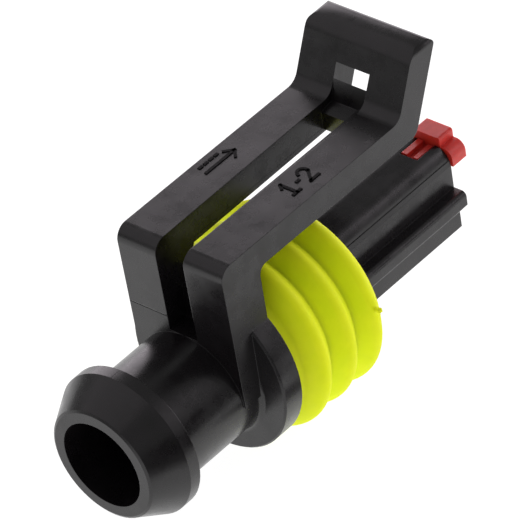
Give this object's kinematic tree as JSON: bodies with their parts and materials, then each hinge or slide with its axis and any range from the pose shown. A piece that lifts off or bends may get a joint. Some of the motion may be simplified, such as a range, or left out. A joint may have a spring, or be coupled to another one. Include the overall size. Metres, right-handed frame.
{
  "type": "connector housing",
  "caption": "Sealed plug housing for a round cable, with a latch over its top, a ribbed ring seal and a sliding lock.",
  "frame": {"origin": "centre of the cable bore's mouth, at the rear face", "axes": "+X along the bore towards the mating end, +Z towards the latch, +Y to the left seen from the cable end"},
  "size_m": [0.0288, 0.0117, 0.0179],
  "materials": {
    "housing_black": "satin",
    "seal_yellow": "matte",
    "lock_red": "satin"
  },
  "bodies": {
    "housing": {"housing": "housing_black", "interface_seal": "seal_yellow"},
    "secondary_lock": {"secondary_lock": "lock_red"}
  },
  "joints": [
    {"name": "lock_slide", "type": "slide", "parent": "housing", "child": "secondary_lock", "axis": [1, 0, 0], "range_m": [0, 0.0015]}
  ]
}
